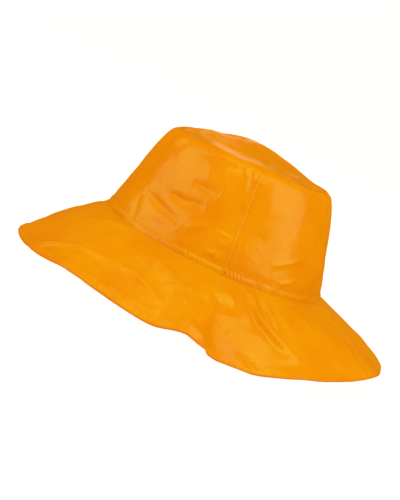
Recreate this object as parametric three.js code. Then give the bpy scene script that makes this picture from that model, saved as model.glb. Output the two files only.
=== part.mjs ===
// Soft rain hat of coated cloth: a tall crown and a wide wavy brim, sewn from five panels.
// +Z is up, -X is the front, the side seams are at +Y and -Y, and the brim's lobes stand on z = 0.

import * as THREE from "three";

// Lengths are in millimetres. A bearing is an angle in degrees round the hat: 0 at the back (+X),
// 90 at the far side seam (+Y), 180 at the front and 270 at the near side seam (-Y).

const HALF_LENGTH = 100.5; // crown's outside at the brim seam, front to back
const HALF_WIDTH = 85;
const SEAM_HEIGHT = 55; // brim seam over the surface the hat stands on
const CROWN_HEIGHT = 87.5; // brim seam to tip seam
const CROWN_LEAN = 0.044; // the crown leans this share of its height towards the front
const BRIM_WIDTH = 80; // along the cloth, seam to hem
const HEM_WIDTH = 9;
const CROWN_CLOTH = 1.2;
const BRIM_CLOTH = 1.6;
const HEM_CLOTH = 2.4;
const SEAM_GAP = 0.3; // between neighbouring panels
const SEAM_ALLOWANCE = 1.5; // brim cloth turned in under the crown's wall
const SIDE_SEAM_RISE = 0.8; // the front panel's folded edge stands this proud
const SIDE_SEAM_FOLD = 3; // width of that edge
const TIP_DOME = 1; // the tip's middle over its seam
const FADE = 6; // folds die away over this distance to a seam
const CENTRE_X = 7.36; // middle of the hat's box from the middle of its crown
const CENTRE_Y = -3.4;

const BACK_SEAM = 270;
const FAR_SEAM = 90;
const NEAR_STEP = 3; // degrees between columns on the side that the waves crowd
const FAR_STEP = 7.5;

// The crown's side: half length at each height over the brim seam.
const CROWN_PROFILE = [
  { height: 0, halfLength: 100.5 },
  { height: 5, halfLength: 98.5 },
  { height: 12, halfLength: 97 },
  { height: 26, halfLength: 93 },
  { height: 40, halfLength: 88.8 },
  { height: 54, halfLength: 85 },
  { height: 68, halfLength: 81 },
  { height: 78, halfLength: 77 },
  { height: 84, halfLength: 73.3 },
  { height: CROWN_HEIGHT, halfLength: 68.8 },
];

// How far the tip seam rises or sags at each bearing.
const TIP_SEAM_RISE = [
  { bearing: 0, rise: -1 },
  { bearing: 30, rise: -3 },
  { bearing: 60, rise: 1.5 },
  { bearing: 90, rise: 4.5 },
  { bearing: 120, rise: -2 },
  { bearing: 150, rise: -4.5 },
  { bearing: 180, rise: -4 },
  { bearing: 225, rise: -1 },
  { bearing: 270, rise: 2 },
  { bearing: 315, rise: 1 },
];

// The brim's slope below level where it leaves the crown, and at its hem. It turns evenly between.
const SEAM_DROOP = [
  { bearing: 0, slope: 16 },
  { bearing: 30, slope: 28 },
  { bearing: 60, slope: 36 },
  { bearing: 90, slope: 33 },
  { bearing: 120, slope: 30 },
  { bearing: 150, slope: 39.5 },
  { bearing: 180, slope: 34 },
  { bearing: 210, slope: 28 },
  { bearing: 240, slope: 26 },
  { bearing: 270, slope: 27 },
  { bearing: 300, slope: 27 },
  { bearing: 330, slope: 16 },
];
const HEM_DROOP = [
  { bearing: 0, slope: 30 },
  { bearing: 20, slope: 34 },
  { bearing: 40, slope: 45 },
  { bearing: 62, slope: 54 },
  { bearing: 85, slope: 50 },
  { bearing: 105, slope: 47 },
  { bearing: 130, slope: 52 },
  { bearing: 150, slope: 54 },
  { bearing: 165, slope: 50.5 },
  { bearing: 185, slope: 51 },
  { bearing: 207, slope: 47.5 },
  { bearing: 222, slope: 36 },
  { bearing: 245, slope: 47 },
  { bearing: 253, slope: 47 },
  { bearing: 260, slope: 35.5 },
  { bearing: 266, slope: 38 },
  { bearing: 272, slope: 52.5 },
  { bearing: 282, slope: 62 },
  { bearing: 296, slope: 45.5 },
  { bearing: 304, slope: 36 },
  { bearing: 318, slope: 31.5 },
  { bearing: 332, slope: 27.5 },
  { bearing: 345, slope: 31 },
];

// Folds and dents. A path's points are [bearing, millimetres up the crown or out along the brim].
const CROWN_FOLDS = [
  { path: [[224, 37], [240, 42], [254, 44]], rise: -2, halfWidth: 6 },
  { path: [[214, 27], [230, 25], [246, 20]], rise: -2, halfWidth: 6 },
  { path: [[206, 30], [212, 15], [217, 5]], rise: -1.6, halfWidth: 5 },
  { path: [[234, 56], [252, 56]], rise: -1.2, halfWidth: 6 },
  { path: [[243, 21], [254, 31]], rise: 1, halfWidth: 5 },
  { path: [[293, 21], [300, 26], [312, 35]], rise: 1.4, halfWidth: 5 },
  { path: [[300, 10], [313, 17]], rise: 1.2, halfWidth: 5 },
  { path: [[262, 30], [264, 78]], rise: -1.6, halfWidth: 9 },
  { path: [[60, 20], [75, 45]], rise: -2, halfWidth: 10 },
  { path: [[120, 40], [145, 30]], rise: -2, halfWidth: 9 },
];
const BRIM_FOLDS = [
  { path: [[184, 71], [200, 52], [210, 32], [216, 14]], rise: -1.2, halfWidth: 9 },
  { path: [[199, 73], [208, 57], [220, 45]], rise: 2, halfWidth: 6 },
  { path: [[235, 22], [246, 23], [254, 32], [259, 50]], rise: 1.2, halfWidth: 6 },
  { path: [[276, 6], [281, 26], [286, 44], [292, 62]], rise: -1.8, halfWidth: 8 },
  { path: [[286, 4], [288, 24], [292, 42], [304, 66]], rise: 2, halfWidth: 8 },
  { path: [[262, 52], [263, 80]], rise: 1.6, halfWidth: 8 },
  { path: [[331, 48], [320, 60]], rise: 1.4, halfWidth: 6 },
  { path: [[340, 55], [322, 68]], rise: -1.4, halfWidth: 7 },
  { path: [[70, 20], [74, 60]], rise: 2, halfWidth: 9 },
  { path: [[125, 15], [118, 55]], rise: -2, halfWidth: 9 },
];

// The lengthwise valley in the tip, as points [x, y] from the tip's middle.
const TIP_FOLDS = [
  { path: [[-46, 2], [-16, 10], [14, 8], [42, 2]], rise: -4.5, halfWidth: 17 },
  { path: [[-34, -34], [0, -38], [24, -34]], rise: 1.2, halfWidth: 9 },
];

const CROWN_ROWS = [0, 4, 9, 15, 22, 30, 38, 46, 54, 62, 69, 75, 80, 84, CROWN_HEIGHT];
const BRIM_ROWS = [80, 76, 71.5, 70.5, 64, 56, 47, 38, 29, 20, 10, 0, -SEAM_ALLOWANCE];
const TIP_RINGS = [1, 0.93, 0.82, 0.67, 0.5, 0.32, 0.15, 0];
const TIP_STEP = 6;

const CLOTH = new THREE.MeshStandardMaterial({ color: 0xf69300, roughness: 0.35 });

const radians = THREE.MathUtils.degToRad;

// Value of a table's column at x, on a smooth curve through its rows. A period joins its ends.
function curveAt(rows, place, column, x, period) {
  const count = rows.length;
  const row = (i) => {
    if (!period) {
      const held = Math.min(Math.max(i, 0), count - 1);
      return [rows[held][place], rows[held][column]];
    }
    const turns = Math.floor(i / count);
    const wrapped = rows[i - turns * count];
    return [wrapped[place] + turns * period, wrapped[column]];
  };
  const at = period ? THREE.MathUtils.euclideanModulo(x, period) : x;
  let i = 0;
  while (i < count - (period ? 1 : 2) && row(i + 1)[0] <= at) i += 1;
  const [x0, y0] = row(i);
  const [x1, y1] = row(i + 1);
  const slope = ([xa, ya], [xb, yb]) => (yb - ya) / (xb - xa || 1);
  const span = x1 - x0;
  const t = (at - x0) / span;
  const m0 = slope(row(i - 1), row(i + 1)) * span;
  const m1 = slope(row(i), row(i + 2)) * span;
  const t2 = t * t;
  const t3 = t2 * t;
  return (2 * t3 - 3 * t2 + 1) * y0 + (t3 - 2 * t2 + t) * m0 + (3 * t2 - 2 * t3) * y1 + (t3 - t2) * m1;
}

// Crown's side before its folds: ellipses whose size follows the profile.
function crownBase(bearing, height) {
  const angle = radians(bearing);
  const halfLength = curveAt(CROWN_PROFILE, "height", "halfLength", height);
  const rise = curveAt(TIP_SEAM_RISE, "bearing", "rise", bearing, 360);
  const share = height / CROWN_HEIGHT;
  return new THREE.Vector3(
    halfLength * Math.cos(angle) - CROWN_LEAN * height,
    halfLength * (HALF_WIDTH / HALF_LENGTH) * Math.sin(angle),
    SEAM_HEIGHT + height + rise * share * share,
  );
}

// Brim before its folds: its section is an arc of the cloth's width that leaves the seam's ellipse
// square to it and turns evenly from the slope at the seam to the slope at the hem.
function brimBase(bearing, out) {
  const angle = radians(bearing);
  const nose = new THREE.Vector2(Math.cos(angle) / HALF_LENGTH, Math.sin(angle) / HALF_WIDTH).normalize();
  const start = radians(curveAt(SEAM_DROOP, "bearing", "slope", bearing, 360));
  const turn = radians(curveAt(HEM_DROOP, "bearing", "slope", bearing, 360)) - start;
  const slope = start + (turn * Math.max(out, 0)) / BRIM_WIDTH;
  const reach = out < 0 ? out : (BRIM_WIDTH * (Math.sin(slope) - Math.sin(start))) / turn;
  const drop = out < 0 ? 0 : (BRIM_WIDTH * (Math.cos(start) - Math.cos(slope))) / turn;
  return new THREE.Vector3(
    HALF_LENGTH * Math.cos(angle) + nose.x * reach,
    HALF_WIDTH * Math.sin(angle) + nose.y * reach,
    SEAM_HEIGHT - drop,
  );
}

// Tip before its folds: a shallow dome inside the crown's top rim. Ring 1 is its seam, 0 its middle.
function tipBase(bearing, ring) {
  const angle = radians(bearing);
  const rim = crownBase(bearing, CROWN_HEIGHT);
  const middle = tipPlace(0, 0);
  const inset = new THREE.Vector2(Math.cos(angle), Math.sin(angle)).multiplyScalar(SEAM_GAP);
  const dome = TIP_DOME * (1 - ring ** 4);
  return new THREE.Vector3(
    middle.x + (rim.x - inset.x - middle.x) * ring,
    (rim.y - inset.y) * ring,
    middle.z + (rim.z - middle.z) * ring * ring + dome,
  );
}

// A place on the tip's level, from its middle.
function tipPlace(x, y) {
  return new THREE.Vector3(x - CROWN_LEAN * CROWN_HEIGHT, y, SEAM_HEIGHT + CROWN_HEIGHT);
}

// Folds with their paths set out as points on the panel.
function placed(folds, place) {
  return folds.map((fold) => ({ ...fold, points: fold.path.map(([a, b]) => place(a, b)) }));
}

// Height of all the folds at a point: a bell across each path, dying away at its two ends.
function foldRise(folds, point, across) {
  const nearest = new THREE.Vector3();
  return folds.reduce((sum, fold) => {
    let best = Infinity;
    let along = 0;
    for (let i = 0; i + 1 < fold.points.length; i += 1) {
      const piece = new THREE.Line3(fold.points[i], fold.points[i + 1]);
      const t = piece.closestPointToPointParameter(point, true);
      const distance = across(piece.at(t, nearest), point);
      if (distance < best) {
        best = distance;
        along = (i + t) / (fold.points.length - 1);
      }
    }
    const bell = Math.exp(-((best / fold.halfWidth) ** 2));
    return sum + fold.rise * bell * Math.sqrt(Math.max(0, Math.sin(Math.PI * along)));
  }, 0);
}

// Outward normal of a surface whose rows run up the hat and whose columns run round it.
function normalAt(surface, bearing, row, upwards) {
  const turn = 0.4;
  const rise = 0.4 * upwards;
  const round = surface(bearing + turn, row).sub(surface(bearing - turn, row));
  const up = surface(bearing, row + rise).sub(surface(bearing, row - rise));
  return round.cross(up).normalize();
}

// A panel's outer skin: the base shape raised by its folds along its own normal.
function folded(base, folds, fadeAt, upwards, across) {
  return (bearing, row) => {
    const point = base(bearing, row);
    const rise = foldRise(folds, point, across) * fadeAt(row);
    return point.addScaledVector(normalAt(base, bearing, row, upwards), rise);
  };
}

const apart = (a, b) => a.distanceTo(b);
const apartInPlan = (a, b) => Math.hypot(a.x - b.x, a.y - b.y);
const clamped = (value) => THREE.MathUtils.clamp(value, 0, 1);

const crownFolds = placed(CROWN_FOLDS, crownBase);
const brimFolds = placed(BRIM_FOLDS, brimBase);
const tipFolds = placed(TIP_FOLDS, tipPlace);

const crownFade = (height) => clamped(Math.min(height, CROWN_HEIGHT - height) / FADE);
const brimFade = (out) => clamped(out / FADE);
const tipFade = (ring) => clamped((1 - ring) * 6);

const crownSkin = folded(crownBase, crownFolds, crownFade, 1, apart);
const brimSkin = folded(brimBase, brimFolds, brimFade, -1, apart);

function tipSkin(bearing, ring) {
  const point = tipBase(bearing, ring);
  point.z += foldRise(tipFolds, point, apartInPlan) * tipFade(ring);
  return point;
}

// Columns of a side panel, closer together on the near side and next to its two seams.
function columnsOf(front) {
  const edge = 1.8;
  const [from, near, to] = front ? [FAR_SEAM, 180, BACK_SEAM] : [-FAR_SEAM, 0, FAR_SEAM];
  const columns = [];
  for (let bearing = from; bearing <= to; bearing += stepAt(bearing, front, near)) {
    columns.push(bearing);
  }
  columns.splice(1, 0, from + edge);
  columns.splice(-1, 0, to - edge);
  return columns;
}

function stepAt(bearing, front, middle) {
  const nearHalf = front ? bearing >= middle : bearing < middle;
  return nearHalf ? NEAR_STEP : FAR_STEP;
}

// The front panel laps the back one at both side seams, so its last strip stands proud.
function seamRise(bearing, front) {
  const fromSeam = Math.min(Math.abs(bearing - FAR_SEAM), Math.abs(bearing - BACK_SEAM));
  const millimetres = radians(fromSeam) * HALF_WIDTH;
  return front ? SIDE_SEAM_RISE * clamped(1 - millimetres / SIDE_SEAM_FOLD) : 0;
}

// A panel's end columns stop half a gap short of the seam's plane.
function shortOfSeam(point, bearing, front, seamX) {
  const atSeam = Math.abs(Math.abs(bearing) - FAR_SEAM) < 0.01 || bearing === BACK_SEAM;
  return atSeam ? point.setX(seamX + (front ? -0.5 : 0.5) * SEAM_GAP) : point;
}

// One closed shell: outer and inner grids of points, joined round their rims. A grid that wraps has
// its last column next to its first.
function shell(outer, inner, wraps) {
  const places = [];
  const triangle = (a, b, c) => {
    const flat = a.distanceTo(b) < 1e-4 || b.distanceTo(c) < 1e-4 || c.distanceTo(a) < 1e-4;
    if (!flat) places.push(...a.toArray(), ...b.toArray(), ...c.toArray());
  };
  const quad = (a, b, c, d) => {
    triangle(a, b, c);
    triangle(a, c, d);
  };
  const columns = outer.length;
  const rows = outer[0].length;
  const last = wraps ? columns : columns - 1;
  for (let i = 0; i < last; i += 1) {
    const next = (i + 1) % columns;
    for (let j = 0; j + 1 < rows; j += 1) {
      quad(outer[i][j], outer[next][j], outer[next][j + 1], outer[i][j + 1]);
      quad(inner[i][j], inner[i][j + 1], inner[next][j + 1], inner[next][j]);
    }
    quad(outer[i][0], inner[i][0], inner[next][0], outer[next][0]);
    quad(outer[i][rows - 1], outer[next][rows - 1], inner[next][rows - 1], inner[i][rows - 1]);
  }
  for (let j = 0; j + 1 < rows && !wraps; j += 1) {
    quad(outer[0][j], outer[0][j + 1], inner[0][j + 1], inner[0][j]);
    quad(outer[last][j], inner[last][j], inner[last][j + 1], outer[last][j + 1]);
  }
  const geometry = new THREE.BufferGeometry();
  geometry.setAttribute("position", new THREE.Float32BufferAttribute(places, 3));
  geometry.computeVertexNormals();
  return geometry.translate(-CENTRE_X, -CENTRE_Y, 0);
}

// Crown wall. Its foot is cut level over the brim, and its top rim plumb beside the tip.
function crownPanel(front) {
  const columns = columnsOf(front);
  const skin = (bearing, height) => {
    const point = crownSkin(bearing, height);
    return point.addScaledVector(normalAt(crownBase, bearing, height, 1), seamRise(bearing, front));
  };
  const outer = columns.map((bearing) =>
    CROWN_ROWS.map((height) => {
      const point = shortOfSeam(skin(bearing, height), bearing, front, -CROWN_LEAN * height);
      if (height === 0) point.z += SEAM_GAP;
      return point;
    }),
  );
  const inner = columns.map((bearing, i) =>
    CROWN_ROWS.map((height, j) => {
      const normal = normalAt(crownSkin, bearing, height, 1);
      const point = outer[i][j].clone();
      if (height === 0) return point.addScaledVector(normal.setZ(0).normalize(), -CROWN_CLOTH);
      if (height === CROWN_HEIGHT) return point.setZ(point.z - CROWN_CLOTH / normal.z);
      const atSeam = outer[i][j].x;
      point.addScaledVector(normal, -CROWN_CLOTH);
      return i === 0 || i === columns.length - 1 ? point.setX(atSeam) : point;
    }),
  );
  return shell(outer, inner, false);
}

// Brim. Its hem is folded double, and it is flattened where it stands on the surface.
function brimPanel(front) {
  const columns = columnsOf(front);
  const rested = (point) => point.setZ(Math.max(point.z, 0));
  const outer = columns.map((bearing) =>
    BRIM_ROWS.map((out) => {
      const normal = normalAt(brimBase, bearing, Math.max(out, 1), -1);
      const rise = seamRise(bearing, front) * brimFade(out);
      const point = brimSkin(bearing, out).addScaledVector(normal, rise);
      return rested(shortOfSeam(point, bearing, front, 0));
    }),
  );
  const inner = columns.map((bearing, i) =>
    BRIM_ROWS.map((out, j) => {
      const thickness = out > BRIM_WIDTH - HEM_WIDTH ? HEM_CLOTH : BRIM_CLOTH;
      const point = outer[i][j].clone();
      if (out < 0) return point.setZ(point.z - thickness);
      const normal = normalAt(brimSkin, bearing, Math.max(out, 1), -1);
      point.addScaledVector(normal, -thickness);
      const atSeam = i === 0 || i === columns.length - 1;
      return rested(atSeam ? point.setX(outer[i][j].x) : point);
    }),
  );
  return shell(outer, inner, false);
}

function tipPanel() {
  const columns = [];
  for (let bearing = 0; bearing < 360; bearing += TIP_STEP) columns.push(bearing);
  const outer = columns.map((bearing) => TIP_RINGS.map((ring) => tipSkin(bearing, ring)));
  const inner = outer.map((column) =>
    column.map((point) => point.clone().setZ(point.z - CROWN_CLOTH)),
  );
  return shell(outer, inner, true);
}

const PANELS = [
  { name: "crown_front_panel", geometry: crownPanel(true) },
  { name: "crown_back_panel", geometry: crownPanel(false) },
  { name: "crown_tip", geometry: tipPanel() },
  { name: "brim_front_panel", geometry: brimPanel(true) },
  { name: "brim_back_panel", geometry: brimPanel(false) },
];

const group = new THREE.Group();
group.name = "rain_hat";
for (const { name, geometry } of PANELS) {
  const panel = new THREE.Mesh(geometry, CLOTH);
  panel.name = name;
  group.add(panel);
}

export default group;
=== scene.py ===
"""Soft rain hat of glossy coated cloth, sewn from five panels, on a plain pale stage.

Lengths are in millimetres until a mesh is made. A bearing is an angle in degrees round the hat:
0 at the back (+X), 90 at the far side seam (+Y), 180 at the front and 270 at the near side seam.
"""

from collections import namedtuple

import bpy
import numpy as np
from mathutils import Matrix, Vector


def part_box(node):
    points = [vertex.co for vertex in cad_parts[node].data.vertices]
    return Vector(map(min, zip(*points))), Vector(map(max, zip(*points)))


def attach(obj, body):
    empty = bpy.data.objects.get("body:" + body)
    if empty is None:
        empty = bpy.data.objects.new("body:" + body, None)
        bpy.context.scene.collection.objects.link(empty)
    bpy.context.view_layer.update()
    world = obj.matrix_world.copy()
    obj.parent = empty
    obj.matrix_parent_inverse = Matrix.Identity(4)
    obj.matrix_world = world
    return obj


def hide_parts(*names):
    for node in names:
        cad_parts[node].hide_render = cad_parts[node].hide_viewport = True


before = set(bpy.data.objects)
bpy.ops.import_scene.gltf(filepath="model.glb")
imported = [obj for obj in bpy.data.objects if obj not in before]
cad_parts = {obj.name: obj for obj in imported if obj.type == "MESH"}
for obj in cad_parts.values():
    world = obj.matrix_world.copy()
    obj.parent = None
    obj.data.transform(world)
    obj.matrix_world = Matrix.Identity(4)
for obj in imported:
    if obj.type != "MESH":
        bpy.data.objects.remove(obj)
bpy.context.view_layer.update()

bl_info = {
    "name": "Rain hat",
    "version": (1, 0, 0),
    "blender": (4, 5, 0),
    "location": "View3D > Sidebar > Rain hat",
    "description": "Builds a sewn rain hat of coated cloth and a pale stage for it",
    "category": "Add Mesh",
}

# Sizes

MM = 0.001


def corners(node):
    """Lowest and highest corner of a node's box, in millimetres."""
    return [np.array(corner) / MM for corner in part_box(node)]


FRONT_LOW, FRONT_HIGH = corners("crown_front_panel")
BACK_LOW, BACK_HIGH = corners("crown_back_panel")
BRIM_LOW, BRIM_HIGH = corners("brim_back_panel")

HALF_LENGTH = (BACK_HIGH[0] - FRONT_LOW[0]) / 2  # crown's outside at the brim seam
HALF_WIDTH = (BACK_HIGH[1] - BACK_LOW[1]) / 2
MIDDLE = np.array([(BACK_HIGH[0] + FRONT_LOW[0]) / 2, (BACK_HIGH[1] + BACK_LOW[1]) / 2, 0.0])
SEAM_HEIGHT = BRIM_HIGH[2]
MEAN_RADIUS = (HALF_LENGTH + HALF_WIDTH) / 2
HALF_GIRTH = np.pi * MEAN_RADIUS  # a side panel's length along the brim seam
CROWN_HEIGHT = 87.5
CROWN_LEAN = 0.044  # to the front, for each millimetre up
BRIM_WIDTH = 80.0
HEM_WIDTH = 9.0
HEM_LINE = BRIM_WIDTH - HEM_WIDTH  # inner edge of the folded hem
HEM_STITCHES = HEM_LINE + 1.4  # topstitch row beside it
CROWN_CLOTH = 1.2
BRIM_CLOTH = 1.6
HEM_CLOTH = 2.4
REST_HEIGHT = 1.7  # upper side of the hem where it lies on the surface
REST_SOFTNESS = 0.8  # how gently the hem comes down to it
TIP_DOME = 1.0
FADE = 6.0  # folds fade out over this width beside a panel's sewn edges
NEAR_SEAM = 270.0
FAR_SEAM = 90.0
LAP = 1.8  # the back panels run on under the front ones by this much
CROWN_SEAM_EDGE = 0.2  # thickness that the side seams' edges are pressed to
BRIM_SEAM_EDGE = 0.08
ROLL_PLACE = -1.7  # a front panel's edge is rolled this far from the side seam
ROLL_WIDTH = 1.5
LAP_GAP = 0.04  # between the back panel and the front one's pressed edge
BULGE_BEARING = 303.0  # where the crown's wall is fullest
BULGE = 0.9
GATHERED_BEARING = 263.0  # where the tip is gathered, beside the near side seam
FLAT_RIM_BEARING = 310.0  # where the ridge along the tip's seam nearly dies away
SEAM_TURNING = 3.0  # brim cloth turned in under the crown's foot
STITCH_HEIGHT = 5.4  # topstitch row over the brim seam
PUCKER_PITCH = 3.7
CROWN_COLUMNS = 400
BRIM_COLUMNS = 450
TIP_COLUMNS = 420

# How many times larger the flat cloth is than what shows, for turnings and curved pattern pieces.
CROWN_TURNINGS = 1.07
SIDE_TURNINGS = 1.02
CROWN_PATTERN = 1.25
BRIM_PATTERN = 1.05
HEM_SPREAD = 0.78  # the hem's extra length over the brim seam, as a share of a level brim's
BRIM_SPREAD = 190.0  # the drooping brim's rows would be twice as long this far out

# Tables

Level = namedtuple("Level", "height half_length")
CROWN_PROFILE = [
    Level(0, 100.5),
    Level(5, 98.5),
    Level(12, 97),
    Level(26, 93),
    Level(40, 88.8),
    Level(54, 85),
    Level(68, 81),
    Level(78, 77),
    Level(84, 73.3),
    Level(CROWN_HEIGHT, 68.8),
]

# The next five tables give a value at bearings round the hat: first how far the tip seam rises.
At = namedtuple("At", "bearing value")
TIP_SEAM_RISE = [
    At(0, -1),
    At(30, -3),
    At(60, 1.5),
    At(90, 4.5),
    At(120, -2),
    At(150, -4.5),
    At(180, -4),
    At(225, -1),
    At(270, 2),
    At(315, 1),
]

# The brim's slope in degrees below level at the crown, and at its hem.
SEAM_DROOP = [
    At(0, 16),
    At(30, 28),
    At(60, 36),
    At(90, 33),
    At(120, 30),
    At(150, 39.5),
    At(180, 34),
    At(210, 28),
    At(240, 26),
    At(270, 27),
    At(300, 27),
    At(330, 16),
]
HEM_DROOP = [
    At(0, 30),
    At(20, 34),
    At(40, 45),
    At(62, 54),
    At(85, 50),
    At(105, 47),
    At(130, 52),
    At(150, 54),
    At(165, 50.5),
    At(185, 51),
    At(207, 47.5),
    At(222, 36),
    At(245, 47),
    At(253, 47),
    At(260, 35.5),
    At(266, 38),
    At(272, 52.5),
    At(282, 62),
    At(296, 45.5),
    At(304, 36),
    At(318, 31.5),
    At(332, 27.5),
    At(345, 31),
]

# How strongly the cloth is puckered along the brim seam.
SEAM_PUCKERS = [
    At(0, 0.5),
    At(60, 0.7),
    At(120, 0.8),
    At(180, 0.5),
    At(212, 0.7),
    At(235, 0.7),
    At(255, 0.5),
    At(272, 1.0),
    At(285, 1.4),
    At(303, 1.4),
    At(318, 0.6),
    At(340, 0.5),
]

# How strongly the crown's wall is crumpled.
WALL_CRUMPLES = [
    At(0, 1.0),
    At(120, 1.0),
    At(200, 0.9),
    At(230, 0.7),
    At(262, 1.0),
    At(280, 0.7),
    At(296, 0.5),
    At(312, 0.5),
    At(332, 1.0),
]

# Random waves of a panel's cloth: long ones, short ones and crumples, each with its own seed.
Waves = namedtuple("Waves", "height wavelength seed")
CROWN_WAVES = [Waves(0.28, 48, 3), Waves(0.1, 17, 5), Waves(0.2, 26, 11)]
BRIM_WAVES = [Waves(0.45, 44, 63), Waves(0.16, 18, 65), Waves(0.1, 34, 71)]
TIP_WAVES = [Waves(0.5, 40, 103), Waves(0.18, 16, 105), Waves(0.12, 26, 111)]

# A fold's path is [bearing, millimetres up the crown or out along the brim], its sharpness 2 for
# a round fold and 1 for a crease.
Fold = namedtuple("Fold", "path rise half_width sharpness", defaults=[2])
CROWN_FOLDS = [
    Fold([[221, 38], [234, 39], [247, 43]], -1.9, 4.5, 1.4),
    Fold([[208, 30], [222, 27], [240, 21]], -1.9, 4.5, 1.4),
    Fold([[206, 28], [210, 15], [214, 5]], -0.8, 4, 1.5),
    Fold([[234, 56], [252, 56]], -1.2, 5, 1.5),
    Fold([[243, 21], [254, 31]], 1, 4, 1.6),
    Fold([[292, 21], [300, 26], [306, 29], [312, 33]], 0.8, 2, 1.4),
    Fold([[300, 9], [306, 13], [313, 16]], 0.8, 2, 1.4),
    Fold([[262, 30], [264, 78]], -1.6, 9),
    Fold([[60, 20], [75, 45]], -2, 10),
    Fold([[120, 40], [145, 30]], -2, 9),
    Fold([[212, 79], [223, 81], [239, 85], [253, 84], [267, 86]], 1.4, 2, 1.5),
    Fold([[262, 90], [264.5, 80], [266, 68]], -1.3, 1.5, 1.4),
    Fold([[258, 88], [261, 78]], 1.3, 1.4, 1.4),
    Fold([[255, 88], [257.5, 80]], -1.2, 1.4, 1.4),
    Fold([[266, 62], [268, 52]], 0.7, 2.4, 1.5),
    Fold([[257, 9], [262, 13], [264, 8]], 0.9, 2.4, 1.4),
    Fold([[262, 18], [268, 27]], 0.7, 2.6, 1.5),
    Fold([[222, 12], [236, 13]], -0.8, 4, 1.6),
    Fold([[200, 50], [212, 62]], 0.8, 6),
    Fold([[324, 45], [334, 60]], -0.8, 7),
    Fold([[322, 20], [340, 30]], 1, 6),
    Fold([[280, 40], [286, 70]], 0.6, 9),
    Fold([[20, 18], [45, 26]], 1.2, 5, 1.6),
    Fold([[150, 55], [175, 48]], -1.2, 6, 1.8),
    Fold([[100, 15], [118, 22]], 1.2, 5, 1.6),
]
BRIM_FOLDS = [
    Fold([[184, 71], [200, 52], [210, 32], [216, 14]], -1, 9),
    Fold([[192, 64], [204, 48]], -0.6, 3, 1.6),
    Fold([[198, 80], [203, 71], [207, 64], [212, 57]], 1.9, 3, 1.4),
    Fold([[206, 66], [214, 55], [224, 50]], 1.2, 2.4, 1.4),
    Fold([[198, 24], [202, 19], [207, 14]], 1.2, 3, 1.5),
    Fold([[204, 14], [212, 9], [218, 8]], 1.2, 3, 1.5),
    Fold([[222, 52], [229, 48], [236, 45]], 1.3, 3, 1.4),
    Fold([[234, 45], [239, 46], [246, 52], [252, 60]], 2.8, 4.4, 1.5),
    Fold([[228, 56], [238, 55], [246, 62]], -0.8, 5, 1.8),
    Fold([[226, 34], [238, 32], [250, 40]], -0.8, 5, 1.8),
    Fold([[234, 24], [239, 22], [244, 22], [250, 26], [253, 30]], 1.1, 1.9, 1.4),
    Fold([[226, 75], [236, 71], [246, 70], [256, 71]], 0.9, 2.2, 1.4),
    Fold([[246, 24], [250, 27], [254, 32], [257, 42], [262, 55]], 1.1, 3, 1.4),
    Fold([[252, 31], [260, 34], [268, 31]], 1.8, 5, 1.7),
    Fold([[266, 14], [272, 19], [278, 26]], 1.5, 6, 1.8),
    Fold([[260, 68], [266, 72], [272, 74]], 1.8, 5, 1.7),
    Fold([[271, 24], [273, 50], [274, 78]], -1.1, 9),
    Fold([[280, 6], [283, 20], [286.5, 34], [293, 48], [299, 62]], -1.6, 3.6, 1.6),
    Fold([[284, 4], [286, 20], [289, 32], [296, 47], [303, 64]], 3, 4.2, 1.5),
    Fold([[287.5, 6], [289.5, 20], [294, 34], [300, 48]], -1.6, 2.6, 1.5),
    Fold([[290, 5], [292.5, 22], [296, 38], [300, 50]], 2.4, 3.4, 1.5),
    Fold([[297, 4], [299, 18], [301, 32]], 0.8, 2.6, 1.6),
    Fold([[276, 55], [284, 66], [292, 74]], 1, 6),
    Fold([[262, 52], [263, 80]], 1.6, 7),
    Fold([[331, 46], [329, 55], [322, 60], [315, 62]], 1.3, 4, 1.7),
    Fold([[340, 55], [333, 61], [320, 66]], -0.8, 6),
    Fold([[354, 74], [333, 74]], 1, 4, 1.8),
    Fold([[306, 8], [312, 24], [318, 38]], 1.2, 6, 1.8),
    Fold([[70, 20], [74, 60]], 2, 9),
    Fold([[125, 15], [118, 55]], -2, 9),
    Fold([[20, 10], [26, 50]], -1.2, 7, 1.8),
    Fold([[160, 12], [156, 55]], 1.4, 6, 1.8),
]

# Points of the tip's folds are [x, y] from its middle.
TIP_FOLDS = [
    Fold([[-4, -36], [18, -32], [42, -14]], -1.5, 7),
    Fold([[-46, 2], [-16, 10], [14, 8], [42, 2]], -4.5, 17),
    Fold([[-54, -8], [-38, -18], [-24, -27], [-6, -38]], 1.1, 11),
    Fold([[-24, -26], [-14, -31], [-4, -36]], 0.5, 3, 1.6),
    Fold([[-24, -14], [-10, -20], [2, -26]], -1, 4, 1.5),
    Fold([[-10, -42], [0, -38], [12, -36]], 0.8, 3, 1.6),
    Fold([[20, -40], [40, -20], [52, 6]], -0.8, 7),
    Fold([[-52, 18], [-20, 36], [16, 40]], 1, 8),
]

# Folds and curves


def curve_at(rows, x, period=None):
    """Second column of a table at x: a cubic through its rows, whose slope at each row is that of
    the line between its two neighbours. A period joins the ends."""
    places, values = np.array(rows, float).T
    if period:
        places = np.concatenate([places[-2:] - period, places, places[:2] + period])
        values = np.concatenate([values[-2:], values, values[:2]])
        x = np.mod(x - places[2], period) + places[2]
    slopes = np.empty_like(values)
    slopes[1:-1] = (values[2:] - values[:-2]) / (places[2:] - places[:-2])
    slopes[0] = (values[1] - values[0]) / (places[1] - places[0])
    slopes[-1] = (values[-1] - values[-2]) / (places[-1] - places[-2])
    i = np.clip(np.searchsorted(places, x, side="right") - 1, 0, len(places) - 2)
    span = places[i + 1] - places[i]
    t = (x - places[i]) / span
    from_left = (2 * t**3 - 3 * t**2 + 1) * values[i] + (t**3 - 2 * t**2 + t) * span * slopes[i]
    from_right = (3 * t**2 - 2 * t**3) * values[i + 1] + (t**3 - t**2) * span * slopes[i + 1]
    return from_left + from_right


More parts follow.
